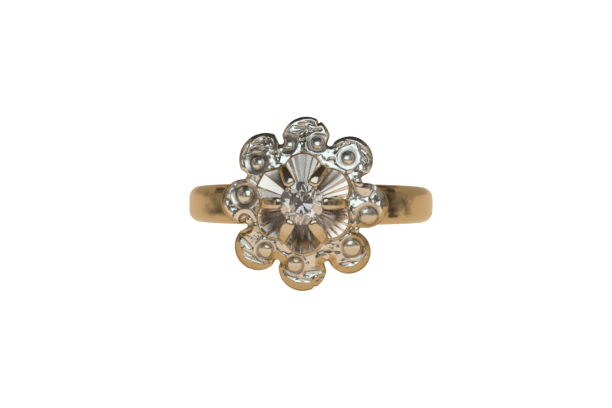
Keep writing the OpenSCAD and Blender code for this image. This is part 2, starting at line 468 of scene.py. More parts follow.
def place_cuts(height, x, y):
    """The larger cuts: flat faces on the left of the graver's way, each with one steep side."""
    fresh = np.zeros_like(height)
    for c in CUTS:
        length = hypot(c.x1 - c.x0, c.y1 - c.y0)
        ux, uy = (c.x1 - c.x0) / length, (c.y1 - c.y0) / length
        along = ((x - c.x0) * ux + (y - c.y0) * uy) / length
        off = (y - c.y0) * ux - (x - c.x0) * uy + 0.2 * length * along * (1 - along)
        plane = -tan(radians(c.up)) * y
        rim_side = (np.abs(off - c.width) < 0.05) & (np.abs(along - 0.5) < 0.4)
        facet = plane + np.mean((height - plane)[rim_side]) - CUT_DEPTH
        width = c.width * (1 - (2 * along - 1) ** 4)
        inside = smooth_step(-0.03, 0.03, off) * smooth_step(0.03, -0.03, off - width)
        height = height * (1 - inside) + np.minimum(height, facet) * inside
        fresh = np.maximum(fresh, inside)
    return height, fresh


def roughen(height, smooth, x, y, rough):
    """Uneven lumps, calmer beyond the dimple, and the dimple's own plain bowl."""
    dx, dy = polar(DIMPLE.angle, DIMPLE.at)
    from_dimple = distance(x, y, DIMPLE) / DIMPLE.radius
    calm = 0.85 * smooth_step(2.4, 2.0, from_dimple) * (x > dx)
    coarse = rough * (1 - calm)
    height = height + COARSE * coarse * lumps(x, y, size=0.5, seed=5)
    height = height + FINE * rough * lumps(x, y, size=0.24, seed=6)
    bowl = np.mean(smooth[from_dimple < 0.2]) - DIMPLE.deep + DIMPLE.down * (y - dy)
    return np.where(from_dimple < 1, bowl, height), from_dimple


def turn_rim(height, inside, roll, full):
    """Bevels the rolled rim and rounds its outer edge, less where full is below one."""
    rolled = np.clip(1 - inside / roll, 0, 1) * (0.3 + 0.7 * full)
    bevel = (np.sqrt(rolled**2 + 0.03) - sqrt(0.03)) / (sqrt(1.03) - sqrt(0.03))
    return height - BEVEL_SLOPE * roll * bevel - EDGE_DROP * (1 - np.sqrt(1 - 0.985 * rolled**6))


def raise_hook(height, smooth, x, y, inside):
    """A ridge that hooks round a small pocket."""
    hx, hy = polar(HOOK.angle, HOOK.at)
    d = distance(x, y, HOOK)
    pocket = smooth_step(0.5, 0.36, d) * smooth_step(0, 0.1, inside)
    height = height * (1 - pocket) + (smooth - HOOK.pocket) * pocket
    off = degrees_off(np.degrees(np.arctan2(y - hy, x - hx)), HOOK.middle)
    ridge = (1 - smooth_step(95, 125, off)) * smooth_step(0, 0.12, inside)
    ridge = ridge * smooth_step(HOOK.width + 0.05, HOOK.width - 0.07, np.abs(d - HOOK.radius))
    return height * (1 - ridge) + (smooth + HOOK.rise + HOOK.down * (y - hy)) * ridge


def flower_height(x, y, inside):
    """Height of the flower's face, width of its rolled rim, and where the metal is freshly cut."""
    smooth, roll = petal_mix(x, y)
    roll = roll * (1 + ROLL_WAVER * lumps(x, y, size=0.45, seed=31))
    step = smooth_step(-0.3, -0.1, cup_side(x, y))
    smooth = PLATE_H + (smooth - PLATE_H) * step
    face = smooth_step(roll - 0.08, roll + 0.08, inside) * step
    low = smooth_step(2, -3, y)
    height = smooth - FACE_DROP * smooth_step(roll, roll + 0.4, inside) * step
    height = height + RIDGE_H * np.exp(-(((inside - roll) / (0.1 + 0.08 * low)) ** 2))
    height = cut_strokes(height, x, y, face * (1 - 0.55 * low))
    height, from_dimple = roughen(height, smooth, x, y, face * (1 - 0.6 * low))
    height, fresh = place_cuts(height, x, y)
    for b in BOSSES:
        height = raise_boss(height, smooth, x, y, b)
    height = height + RIPPLE * lumps(x, y, size=0.26, seed=8)
    # The rim is hardly rolled beside the hook and the dimple
    full = np.minimum(smooth_step(0.7, 1.1, distance(x, y, HOOK)), smooth_step(1.3, 1.6, from_dimple))
    height = turn_rim(height, inside, roll, full)
    height = raise_hook(height, smooth, x, y, inside)
    for b in BEADS:
        height, bead = raise_bead(height, smooth, x, y, inside, b)
        fresh = np.maximum(fresh, bead)
    return height, roll, fresh


def distance_inside(x, y, edge):
    """Distance of each point from the nearest point of a dense outline."""
    tree = kdtree.KDTree(len(edge))
    for i, (ex, ey) in enumerate(edge):
        tree.insert((ex, ey, 0), i)
    tree.balance()
    flat = [tree.find((px, py, 0))[2] for px, py in zip(x.ravel(), y.ravel())]
    return np.array(flat).reshape(x.shape)


def flower_edges():
    """The flower's outline and the round edge of its hole, as points that face each other."""
    edge = outline(COLUMNS)
    even = 2 * pi * np.arange(COLUMNS) / COLUMNS
    turn = np.unwrap(np.arctan2(edge[:, 1], edge[:, 0]))
    turn = soften(turn - even, 260) + even
    return edge, INNER_R * np.stack([np.cos(turn), np.sin(turn)], axis=1)


def rim_and_back(edge, inner, height):
    """Rows that turn the rim under in a small round and close the piece with a plain back."""
    towards = inner - edge
    towards = towards / np.hypot(*towards.T)[:, None]
    under = height - BACK_H
    rows = []
    for a in np.radians([18, 36, 54, 72, 90]):
        step = UNDER_R * (1 - cos(a))
        rows.append(np.column_stack([edge + towards * step, height - under * sin(a)]))
    plan = rows[-1][:, :2]
    for t in np.linspace(0, 1, 10)[1:]:
        level = BACK_H + (PLATE_H - PLATE_T - BACK_H) * smooth_step(0, 0.8, t)
        rows.append(np.column_stack([plan + (inner - plan) * t, np.full(COLUMNS, level)]))
    return rows


def hollows(height):
    """How far each point lies below those before and after it, from 0 to 1."""
    mean = height.copy()
    for _ in range(10):
        mean = soften(mean, 1)
        mean[1:-1] = 0.25 * mean[:-2] + 0.5 * mean[1:-1] + 0.25 * mean[2:]
    return np.clip((mean - height) / DIRT_DEPTH, 0, 1)


def flower_marks(x, y, inside, height, roll, fresh):
    """Softer gloss by the bosses, plating worn off to gold with more gold low down as a painted warm
    reflection, and hollows where dirt stays.
    """
    # More gold low down is a painted warm reflection of the floor, beside the real wear at the edges
    low = smooth_step(2.2, -2.6, y)
    gold_w = 0.09 + low * (roll - 0.05)
    worn = smooth_step(0.05, -0.05, inside - gold_w + 0.03 * lumps(x, y, size=0.3, seed=21))
    worn = np.maximum(worn, PAINTED_WARM_SPOTS * low * smooth_step(-0.4, 0.4, lumps(x, y, size=0.7, seed=22)))
    worn = worn * (1 - 0.9 * fresh)
    hollow = hollows(height)
    soft = np.zeros_like(x)
    for b in BOSSES:
        by = polar(b.angle, b.at)[1]
        d = distance(x, y, b)
        soft = np.maximum(soft, smooth_step(b.dish + 0.1, b.dish, d))
        hollow = np.maximum(hollow, DIRT_RING * np.exp(-(((d - b.radius - 0.02) / 0.1) ** 2)))
        # Gold on the lower half of the low bosses is a painted warm reflection
        warm_underside = PAINTED_WARM_UNDERSIDE * smooth_step(1.5, -1, by) * smooth_step(0.1, -0.15, y - by)
        worn = np.maximum(worn, warm_underside * smooth_step(b.radius, b.radius - 0.12, d))
    return soft, worn, hollow


def make_flower():
    edge, inner = flower_edges()
    share = 1 - (1 - np.linspace(0, 1, FACE_ROWS)) ** 1.4
    plan = inner[None] + (edge - inner)[None] * share[:, None, None]
    x, y = plan[..., 0], plan[..., 1]
    inside = distance_inside(x, y, outline(COLUMNS * 4))
    inside[-1] = 0
    height, roll, fresh = flower_height(x, y, inside)
    under = rim_and_back(edge, inner, height[-1])
    points = np.concatenate([np.dstack([x, y, height]).reshape(-1, 3), np.concatenate(under)])
    # The last row of points joins the first, so that the faces close round the hole's edge
    rows = FACE_ROWS + len(under)
    faces = ring_faces(rows + 1, COLUMNS) % (rows * COLUMNS)
    flower = new_piece("flower_plate", points, faces, HEAD)
    soft, worn, hollow = flower_marks(x, y, inside, height, roll, fresh)
    back = np.ones(len(under) * COLUMNS)
    soft, worn, hollow = np.append(soft, back), np.append(worn, back), np.append(hollow, 0 * back)
    give_values(flower, soft=soft, worn=worn, hollow=hollow)
    return flower


# The cup with its fans


# The fans between the claws: direction, rise towards the rim in degrees, number of facets, depth of the
# grooves, how far each groove sits off the middle of its crests, and how much painted shade lies on it: all
# over (0), or on the side that comes first (-1) or last (1) counter-clockwise
Fan = namedtuple("Fan", "turn rise facets groove skew grime side")
FANS = [
    Fan(30, -1.2, 11, 0.026, 0.2, 0.8, 1),
    Fan(90, -1.4, 13, 0.015, 0.4, 0.08, 0),
    Fan(150, -5, 6, 0.070, -0.75, 1.25, -1),
    Fan(210, 17, 8, 0.06, 0.4, 0.58, 0),
    Fan(270, 13, 9, 0.09, -0.3, 0.55, 0),
    Fan(330, 11, 13, 0.055, 0.3, 0.7, 1),
]

# A fan's rays run from a point near the head's axis. Its facets begin FAN_FOOT away from that point.
FAN_START = 0.5
FAN_FOOT = 0.7
FAN_HALF = 31.0
CREST_HALF = 0.3
FAN_TOP = RIM_H - 0.08
RIDGE_START = 13.7
LIP_RISE = 8
RIM_T = 0.14

# Where two fans meet: distance from the head's axis, and direction seen from a fan's own start
HALF_LOBE = pi / LOBES
NOTCH_R = LOBE_AT * cos(HALF_LOBE) + sqrt(LOBE_R**2 - (LOBE_AT * sin(HALF_LOBE)) ** 2)
NOTCH_X, NOTCH_Y = NOTCH_R * cos(HALF_LOBE), NOTCH_R * sin(HALF_LOBE)
FAN_EDGE = degrees(atan2(NOTCH_Y, NOTCH_X - FAN_START))

# Radius and height of the rows that close the fans in the middle, and of the cup's foot and neck
CUP_MIDDLE = [(0.02, 12.1), (0.5, 12.15)]
CUP_NECK = [(2.95, CUP_H), (2.85, 12.3), (2.8, 11.4), (0.02, 11.4)]


def fan_rays(fan):
    """Angle, start height and end height of a fan's rays. A crest or a groove is two close rays."""
    start = FAN_TOP - tan(radians(fan.rise)) * (LOBE_AT + LOBE_R - FAN_START)
    rays = []
    for i in range(fan.facets + 1):
        turn = FAN_HALF * (2 * (i + i % 2 * fan.skew) / fan.facets - 1)
        end = FAN_TOP - (fan.groove if i % 2 else -fan.groove)
        rays += [(turn + side, start, end) for side in (-CREST_HALF, CREST_HALF)]
    ridge = (RIDGE_START, FAN_TOP + 0.04)
    return [(-FAN_EDGE, *ridge)] + rays + [(FAN_EDGE, *ridge)]


def ray_rows(fan, a, start, end, lip):
    """Distance and height of a ray's points: up the fan, over the rim and down the outer wall."""
    step = FAN_START - LOBE_AT
    edge = -step * cos(a) + sqrt(LOBE_R**2 - (step * sin(a)) ** 2)
    reach = edge - RIM_T
    lip_rise = min(fan.rise, LIP_RISE)
    knee = 1 - lip * tan(radians(lip_rise)) / tan(radians(fan.rise))
    steep = knee / (1 - lip)
    steps = ((0, 0), (0.3, 0.3 * steep), (0.6, 0.6 * steep), (1 - lip, knee), (1, 1))
    rows = [(FAN_FOOT + (reach - FAN_FOOT) * part, start + (end - start) * up) for part, up in steps]
    rows += [(reach + 0.03, RIM_H - 0.03), (edge - RIM_T * 0.5, RIM_H), (edge - 0.04, RIM_H - 0.02)]
    rows += [(edge, RIM_H - 0.07), (edge + 0.02, 13.8), (edge + 0.07, 13.4)]
    return rows + [(edge + WALL_FLARE - 0.01, 13.1), (edge + WALL_FLARE, CUP_H)]


def fan_shade(fan, turn):
    """How much painted shade lies on a fan's ray."""
    return fan.grime * smooth_step(6.8, 9.5, turn * fan.side) if fan.side else fan.grime


def make_cup():
    columns = []
    grime = []
    dice = np.random.default_rng(4)
    for fan in FANS:
        c, s = polar(fan.turn, 1)
        for turn, start, end in fan_rays(fan):
            a = radians(turn)
            lip = 0.02 + 0.18 * dice.uniform(0, 1) ** 2
            column = []
            for t, h in ray_rows(fan, a, start, end, lip):
                u, v = FAN_START + t * cos(a), t * sin(a)
                column.append((c * u - s * v, s * u + c * v, h))
            columns.append(column)
            # Each ray's share of the painted shade in its fan
            grime.append(fan_shade(fan, turn))
    grid = np.array(columns).transpose(1, 0, 2)
    around = np.arctan2(grid[0, :, 1], grid[0, :, 0])
    rows = [ring(around, r, h) for r, h in CUP_MIDDLE]
    rows += list(grid)
    rows += [ring(around, r, h) for r, h in CUP_NECK]
    faces = ring_faces(len(rows), len(columns))
    cup = new_piece("cup", np.concatenate(rows), faces, SETTING, smooth=False)
    # By row: painted shade lies in the fans, and the rim and the outer wall are worn
    worn = [0] * 7 + [0.5, 0.9, 0.9] + [0.85] * 9
    shaded_rows = [1] * 5 + [0.8, 0.2] + [0] * 12
    give_values(cup, worn=np.repeat(worn, len(columns)), hollow=np.outer(shaded_rows, grime))
    close_mesh(cup, within=0.02 * MM)
    return cup


def close_mesh(piece, within):
    """Merges points that coincide and turns all faces outwards."""
    work = bmesh.new()
    work.from_mesh(piece.data)
    bmesh.ops.remove_doubles(work, verts=work.verts, dist=within)
    bmesh.ops.recalc_face_normals(work, faces=work.faces)
    work.to_mesh(piece.data)
    work.free()


def sharpen(piece, angle):
    """Smooth shading with a crisp line at every edge sharper than an angle."""
    work = bmesh.new()
    work.from_mesh(piece.data)
    for face in work.faces:
        face.smooth = True
    for edge in work.edges:
        edge.smooth = len(edge.link_faces) == 2 and edge.calc_face_angle(0) < radians(angle)
    work.to_mesh(piece.data)
    work.free()


# The claws and the shank are node trees with named sizes. The gallery is turned from its profile.


# Reach and height of the ends of a claw's line and of the handles that bend it
CLAW_LINE = {
    "Foot": (CLAW_FOOT, 12.95),
    "Foot Handle": (3.34, 14.15),
    "Tip Handle": (2.2, 15.5),
    "Tip": (1.5, 15.42),
}

# Radius and height of the gallery's profile
GALLERY = [(0.02, 12.05), (3.54, 12.05), (3.6, 11.98), (3.6, 11.6), (3.56, 11.4), (3.4, 11.24)]
GALLERY += [(3.05, 11.02), (2.6, 10.78), (2.05, 10.42), (1.62, 10.1), (1.35, 9.9), (1.1, 9.55), (0.02, 9.4)]
GALLERY_STEPS = 96


def size_tree(name, sizes):
    """A Geometry Nodes tree with an input for each size, and for the material."""
    inputs = {}
    for label, value in sizes.items():
        inputs[label] = "NodeSocketInt" if isinstance(value, int) else "NodeSocketFloat"
        if isinstance(value, bpy.types.Material):
            inputs[label] = "NodeSocketMaterial"
    return new_group(name, "GeometryNodeTree", inputs, {"Geometry": "NodeSocketGeometry"})


def end_tree(tree, outside, shape, material):
    """Makes the shape real, gives it its material and puts it out."""
    real = output(tree, "GeometryNodeRealizeInstances", {"Geometry": shape})
    made = output(tree, "GeometryNodeSetMaterial", {"Geometry": real, "Material": material})
    tree.links.new(made, outside.inputs[0])


def grow(name, tree, sizes, matrix):
    """Runs a node tree with its sizes set and keeps the result as a plain mesh in its place."""
    piece = put(name, bpy.data.meshes.new(name))
    modifier = piece.modifiers.new(name, "NODES")
    modifier.node_group = tree
    for item in tree.interface.items_tree:
        if item.item_type == "SOCKET" and item.in_out == "INPUT":
            modifier[item.identifier] = sizes[item.name]
    keep_shape(piece, modifier)
    piece.data.transform(matrix)
    return piece


def keep_shape(piece, modifier):
    """Makes the shape that a modifier gives a piece its own mesh."""
    bpy.context.view_layer.update()
    evaluated = piece.evaluated_get(bpy.context.evaluated_depsgraph_get())
    mesh = bpy.data.meshes.new_from_object(evaluated)
    piece.modifiers.remove(modifier)
    piece.data = mesh


def rounded_section(tree, width, height, rounding):
    """A rectangle with rounded corners, to sweep along a path."""
    plain = output(tree, "GeometryNodeCurvePrimitiveQuadrilateral", {"Width": width, "Height": height})
    corners = {"Curve": plain, "Count": 7, "Radius": rounding, "Limit Radius": True}
    return output(tree, "GeometryNodeFilletCurve", corners, mode="POLY")


def claw_path(tree, size):
    """The line of one claw, from its foot on the plate to its tip over the stone."""
    ends = {"Resolution": 64}
    for end, place in zip(("Start", "Start Handle", "End Handle", "End"), CLAW_LINE):
        at = {"X": size[place + " Reach"], "Z": size[place + " Height"]}
        ends[end] = output(tree, "ShaderNodeCombineXYZ", at)
    path = output(tree, "GeometryNodeCurvePrimitiveBezierSegment", ends, mode="POSITION")
    even = output(tree, "GeometryNodeResampleCurve", {"Curve": path, "Count": 56})
    return output(tree, "GeometryNodeSetCurveNormal", {"Curve": even}, mode="Z_UP")


def claw_thickness(tree, round_part):
    """Full size along the claw, but its last part rounds off to nothing, as half an ellipse."""
    along = add(tree, "GeometryNodeSplineParameter").outputs["Factor"]
    past = math_node(tree, "MAXIMUM", math_node(tree, "SUBTRACT", along, 1 - round_part), 0.0)
    past = math_node(tree, "POWER", math_node(tree, "DIVIDE", past, round_part), 2.0)
    left = math_node(tree, "MAXIMUM", math_node(tree, "SUBTRACT", 1.0, past), 0.0004)
    return math_node(tree, "SQRT", left)


def claw_tree(sizes):
    tree, inside, outside = size_tree("claws", sizes)
    size = inside.outputs
    thick = claw_thickness(tree, 0.12)
    section = rounded_section(tree, size["Claw Width"], size["Claw Depth"], size["Claw Round"])
    bar = {"Curve": claw_path(tree, size), "Profile Curve": section, "Scale": thick, "Fill Caps": True}
    bar = output(tree, "GeometryNodeCurveToMesh", bar)
    places = output(tree, "GeometryNodePoints", {"Count": size["Claws"]})
    number = output(tree, "GeometryNodeInputIndex")
    turn = math_node(tree, "DIVIDE", times(tree, number, 2 * pi), size["Claws"])
    way = output(tree, "ShaderNodeCombineXYZ", {"Z": turn})
    copies = {"Points": places, "Instance": bar, "Rotation": way}
    copies = output(tree, "GeometryNodeInstanceOnPoints", copies)
    end_tree(tree, outside, copies, size["Metal"])
    return tree


def make_claws(gold):
    sizes = {
        "Claws": 6,
        "Claw Width": CLAW_W,
        "Claw Depth": CLAW_DEPTH,
        "Claw Round": 0.34,
        "Metal": gold,
    }
    for place, (reach, height) in CLAW_LINE.items():
        sizes[place + " Reach"] = reach
        sizes[place + " Height"] = height
    claws = grow("claws", claw_tree(sizes), sizes, SETTING)
    close_mesh(claws, within=0.002 * MM)
    sharpen(claws, 60)
    tip = smooth_step(14.9, 15.4, head_points(claws)[:, 2])
    give_values(claws, worn=1 - 0.45 * tip, hollow=np.zeros(len(tip)))
    return claws


def position(tree):
    """The X, Y and Z of each point, for a tree to work with."""
    here = output(tree, "GeometryNodeInputPosition")
    return add(tree, "ShaderNodeSeparateXYZ", {0: here}).outputs


def shank_section(tree, size, width):
    """A rectangle whose outer corners are rounder than its inner ones."""
    outer = math_node(tree, "GREATER_THAN", position(tree)["X"], 0.0)
    spare = math_node(tree, "SUBTRACT", size["Outer Round"], size["Inner Round"])
    rounding = math_node(tree, "MULTIPLY_ADD", outer, spare, size["Inner Round"])
    section = rounded_section(tree, size["Wall"], width, rounding)
    return output(tree, "GeometryNodeSubdivideCurve", {"Curve": section, "Cuts": 2})


def shank_offset(tree, size, middle, mean_w):
    """Widens the shank towards its head, crowns its outer face and adds faint dents."""
    at = position(tree)
    half = times(tree, mean_w, 0.5)
    gain = math_node(tree, "SUBTRACT", size["Head Width"], size["Back Width"])
    gain = math_node(tree, "DIVIDE", gain, times(tree, middle, 4.0))
    share = math_node(tree, "DIVIDE", times(tree, at["Y"], gain), half)
    widen = times(tree, times(tree, at["Z"], share), -1.0)
    across = math_node(tree, "POWER", math_node(tree, "DIVIDE", at["Z"], half), 2.0)
    crown = times(tree, across, times(tree, size["Crown"], -1.0))
    dent = times(tree, noise(tree, Scale=0.5, Detail=2.0), times(tree, size["Dents"], -1.0))
    pull = math_node(tree, "DIVIDE", math_node(tree, "ADD", crown, dent), middle)
    inwards = {axis: times(tree, at[axis], pull) for axis in ("X", "Y")}
    return output(tree, "ShaderNodeCombineXYZ", {**inwards, "Z": widen})


def shank_tree(sizes):
    tree, inside, outside = size_tree("shank", sizes)
    size = inside.outputs
    middle = times(tree, size["Wall"], 0.5)
    middle = math_node(tree, "ADD", size["Finger Radius"], middle)
    mean_w = math_node(tree, "ADD", size["Head Width"], size["Back Width"])
    mean_w = times(tree, mean_w, 0.5)
    path = output(tree, "GeometryNodeCurvePrimitiveCircle", {"Resolution": size["Steps"], "Radius": middle})
    section = shank_section(tree, size, mean_w)
    swept = output(tree, "GeometryNodeCurveToMesh", {"Curve": path, "Profile Curve": section})
    offset = shank_offset(tree, size, middle, mean_w)
    shaped = output(tree, "GeometryNodeSetPosition", {"Geometry": swept, "Offset": offset})
    end_tree(tree, outside, shaped, size["Metal"])
    return tree


def make_shank(gold):
    sizes = {
        "Finger Radius": FINGER_R,
        "Wall": WALL,
        "Head Width": HEAD_W,
        "Back Width": BACK_W,
        "Outer Round": EDGE_R,
        "Inner Round": 0.3,
        "Crown": 0.06,
        "Dents": 0.02,
        "Steps": 256,
        "Metal": gold,
    }
    shank = grow("shank", shank_tree(sizes), sizes, SHANK)
    close_mesh(shank, within=0.002 * MM)
    return shank


def make_gallery():
    """The flared cup under the flower, turned from its outline and closed inside the shank."""
    around = 2 * pi * np.arange(GALLERY_STEPS) / GALLERY_STEPS
    rows = [ring(around, r, h) for r, h in GALLERY]
    gallery = new_piece("gallery", np.concatenate(rows), ring_faces(len(rows), GALLERY_STEPS), HEAD)
    close_mesh(gallery, within=0.05 * MM)
    return gallery


def union(piece, other):
    """One solid from two that meet, as soldered metal is."""
    modifier = piece.modifiers.new("solder", "BOOLEAN")
    modifier.operation = "UNION"
    modifier.solver = "EXACT"
    modifier.object = other
    keep_shape(piece, modifier)
    bpy.data.objects.remove(other)
    return piece


# The stone. Angles are in degrees from level, and a cutter's hand slips a little on the lower side.
TABLE_SHARE = 0.54
GIRDLE_HALF = 0.06
CROWN_ANGLE = 34.5
UPPER_ANGLE = 41.2
STAR_ANGLE = 21
PAVILION_ANGLE = 44
LOWER_ANGLE = 45.2
CUTTER_SLIP = 1.2
STONE_TURN = 20


def slice_off(work, at, way):
    """Removes what lies beyond a plane and closes the cut."""
    parts = work.verts[:] + work.edges[:] + work.faces[:]
    kept = bmesh.ops.bisect_plane(work, geom=parts, plane_co=at, plane_no=way, clear_outer=True)
    edges = [e for e in kept["geom_cut"] if isinstance(e, bmesh.types.BMEdge)]
    bmesh.ops.holes_fill(work, edges=edges)


def cut_facet(work, turn, angle, level, side):
    """A facet through a level of the stone's edge, above the girdle (side 1) or below it (side -1)."""
    t, a = radians(turn), radians(angle)
    way = Vector((cos(t) * sin(a), sin(t) * sin(a), side * cos(a)))
    slice_off(work, Vector((STONE_R * cos(t), STONE_R * sin(t), side * level)), way)


def make_stone():
    """A round brilliant cut from a cylinder by its facet planes."""
    work = bmesh.new()
    bar = dict(radius1=STONE_R, radius2=STONE_R, depth=2 * STONE_R, segments=96)
    bmesh.ops.create_cone(work, cap_ends=True, **bar)
    dice = np.random.default_rng(2)

    def by_hand(angle):
        return angle + dice.uniform(-CUTTER_SLIP, CUTTER_SLIP)

    table_r = TABLE_SHARE * STONE_R
    table_h = GIRDLE_HALF + (STONE_R - table_r) * tan(radians(CROWN_ANGLE))
    star_h = table_h - (STONE_R - table_r * 0.99) * tan(radians(STAR_ANGLE))
    for i in range(8):
        cut_facet(work, 45 * i, CROWN_ANGLE, GIRDLE_HALF, 1)
        cut_facet(work, 45 * i, by_hand(PAVILION_ANGLE), GIRDLE_HALF, -1)
    for i in range(16):
        turn = 22.5 * i + 11.25
        cut_facet(work, turn, UPPER_ANGLE, GIRDLE_HALF * 0.8, 1)
        cut_facet(work, turn, by_hand(LOWER_ANGLE), GIRDLE_HALF * 0.8, -1)
    for i in range(8):
        cut_facet(work, 45 * i + 22.5, STAR_ANGLE, star_h, 1)
    slice_off(work, (0, 0, table_h), (0, 0, 1))
    bmesh.ops.remove_doubles(work, verts=work.verts, dist=0.002)
    bmesh.ops.recalc_face_normals(work, faces=work.faces)
    mesh = bpy.data.meshes.new("brilliant")
    work.to_mesh(mesh)
    work.free()
    turn = Matrix.Rotation(radians(STONE_TURN), 4, "Z")
    mesh.transform(SETTING @ Matrix.Translation((0, 0, GIRDLE_H)) @ turn)
    return put("brilliant", mesh)


# Finishes


RHODIUM = (0.81, 0.79, 0.76, 1)
CUP_METAL = (0.87, 0.77, 0.71, 1)
GOLD = (0.59, 0.455, 0.245, 1)
GRIME = (0.22, 0.13, 0.05, 1)
# The tone of the painted shade on the band and in the cup's fans
PAINTED_SHADE = (0.10, 0.075, 0.055, 1)

# Depth of the scratches' bump in metres, and how much rougher soft places are
BUMP_STEP = 0.00002
SOFTER = 0.07

# Middles of the painted shade across the band: a broad patch, and painted dark reflections in lines along
# both edges
PATCH_UP = 0.12
UPPER_LINE = 1.18
LOWER_LINE = -0.92


def mix_colours(tree, share, first, second):
    inputs = {"Factor": share, 6: first, 7: second}
    return add(tree, "ShaderNodeMix", inputs, data_type="RGBA").outputs[2]


def worn_metal_group():
    """The colour of plated metal: one metal where it is fresh, another where it is worn and where a warm
    reflection is painted, and dirt and painted shade.
    """
    number, colour = "NodeSocketFloat", "NodeSocketColor"
    inputs = {"Fresh": colour, "Gold Tone": colour, "Dirt And Shade": colour}
    inputs.update({"Wear": number, "Hollow": number, "Dirt Amount": number})
    tree, inside, outside = new_group("two_metals", "ShaderNodeTree", inputs, {"Color": colour})
    given = inside.outputs
    metals = mix_colours(tree, given["Wear"], given["Fresh"], given["Gold Tone"])
    # Dirt in hollows and painted shade darken the metal by this amount
    amount = times(tree, given["Hollow"], given["Dirt Amount"])
    tree.links.new(mix_colours(tree, amount, metals, given["Dirt And Shade"]), outside.inputs["Color"])
    return tree


def scratches_group():
    """Fine handling scratches: a height for the bump and a value for the roughness."""
    number, vector = "NodeSocketFloat", "NodeSocketVector"
    tree, inside, outside = new_group(
        "fine_scratches",
        "ShaderNodeTree",
        {"Vector": vector, "Stretch": vector, "Scale": number},
        {"Height": number, "Haze": number},
    )
    given = inside.outputs
    pulled = {0: given["Vector"], 1: given["Stretch"]}
    pulled = output(tree, "ShaderNodeVectorMath", pulled, operation="MULTIPLY")
    fine = noise(tree, Vector=pulled, Scale=given["Scale"], Detail=4.0, Roughness=0.65)
    broad = noise(tree, Vector=pulled, Scale=times(tree, given["Scale"], 0.18), Detail=2.0)
    tree.links.new(fine, outside.inputs["Height"])
    tree.links.new(broad, outside.inputs["Haze"])
    return tree


TWO_METALS = worn_metal_group()
SCRATCHES = scratches_group()


def show(tree, shader):
    """Puts a shader on the surface."""
    add(tree, "ShaderNodeOutputMaterial", {"Surface": shader})


def new_material(name):
    material = bpy.data.materials.new(name)
    material.use_nodes = True
    tree = material.node_tree
    tree.nodes.clear()
    return material, tree


def object_coordinates(tree):
    """Object coordinates in millimetres, turned to the head's own axes."""
    source = add(tree, "ShaderNodeTexCoord").outputs["Object"]
    axes = {"Location": HEAD.to_translation(), "Rotation": HEAD.to_euler(), "Scale": (MM, MM, MM)}
    return output(tree, "ShaderNodeMapping", {"Vector": source, **axes}, vector_type="TEXTURE")


def scratches(tree, where, scale, stretch=(1, 1, 1)):
    """The scratches' height and haze at a place."""
    inputs = {"Vector": where, "Stretch": stretch, "Scale": scale}
    return add(tree, "ShaderNodeGroup", inputs, node_tree=SCRATCHES).outputs


def spread(tree, value, start, end, low=0.0, high=1.0):
    """A value's range from start to end, spread from low to high."""
    inputs = {"Value": value, "From Min": start, "From Max": end, "To Min": low, "To Max": high}
    return output(tree, "ShaderNodeMapRange", inputs)


def point_value(tree, name):
    """One of the numbers that give_values wrote."""
    return add(tree, "ShaderNodeAttribute", attribute_name=name).outputs["Fac"]


def metal(name, rough, bump, scale, dirt_and_shade_strength, fresh=RHODIUM, grime=GRIME, stretch=(1, 1, 1), patchy=False):
    """A polished metal, worn to gold, with dirt in its hollows, painted shade and a painted warm reflection
    where a piece's values ask for them, fine scratches and an uneven haze.
    """
    material, tree = new_material(name)
    where = object_coordinates(tree)
    marks = scratches(tree, where, scale, stretch)
    # This value holds dirt in the flower's hollows, and painted shade on the band and in the cup's fans
    hollow = point_value(tree, "hollow")
    if patchy:
        blots = noise(tree, Vector=where, Scale=0.85, Detail=2.0, Roughness=0.4)
        hollow = times(tree, hollow, spread(tree, blots, 0.40, 0.62))
    tones = {
        "Fresh": fresh,
        "Gold Tone": GOLD,
        "Dirt And Shade": grime,
        "Wear": point_value(tree, "worn"),
        "Hollow": hollow,
        "Dirt Amount": dirt_and_shade_strength,
    }
    colour = output(tree, "ShaderNodeGroup", tones, node_tree=TWO_METALS)
    haze = spread(tree, marks["Haze"], 0.3, 0.7, *rough)
    haze = math_node(tree, "MULTIPLY_ADD", point_value(tree, "soft"), SOFTER, haze)
    surface = {"Height": marks["Height"], "Strength": 1.0, "Distance": bump * BUMP_STEP}
    surface = output(tree, "ShaderNodeBump", surface)
    gloss = {"Base Color": colour, "Metallic": 1.0, "Roughness": haze, "Normal": surface}
    shader = output(tree, "ShaderNodeBsdfPrincipled", gloss)
    show(tree, shader)
    return material


def diamond():
    """A clear stone, faintly hazed by handling, with a faint painted glow."""
    material, tree = new_material("clear_stone")
    marks = scratches(tree, object_coordinates(tree), 3.0)
    clear = {
        "Base Color": (0.81, 0.77, 0.75, 1),
        "Roughness": spread(tree, marks["Haze"], 0.3, 0.7, 0.0, 0.02),
        "IOR": 2.42,
        "Transmission Weight": 0.96,
        # A faint emission paints a glow of inner brilliance into the stone
        "Emission Color": (1.0, 0.93, 0.90, 1),
        "Emission Strength": 0.012,
    }
    shader = output(tree, "ShaderNodeBsdfPrincipled", clear)
    show(tree, shader)
    return material


def paint_band_shade(piece):
    """Gold all over, with the head's shadow and reflection painted beside it, and painted dark reflections in
    lines along the edges.
    """
    x, up, out = head_points(piece).T
    aside = np.abs(x)
    near = smooth_step(9.0, 7.4, aside) * smooth_step(4.6, 5.4, aside) * smooth_step(0, 4, out)
    near = near * smooth_step(9.2, 9.7, np.hypot(x, out))
    patches = smooth_step(1.3, 0.8, np.abs(up - PATCH_UP))
    upper_line = np.exp(-(((up - UPPER_LINE) / 0.11) ** 2))
    lower_line = np.exp(-(((up - LOWER_LINE) / 0.12) ** 2)) * (x > 0)
    lines = (upper_line + lower_line) * smooth_step(8.2, 7.0, aside)
    give_values(piece, worn=np.ones(len(x)), hollow=near * (patches + 2.2 * lines))


# The studio, in metres

CAMERA_AWAY = 0.260


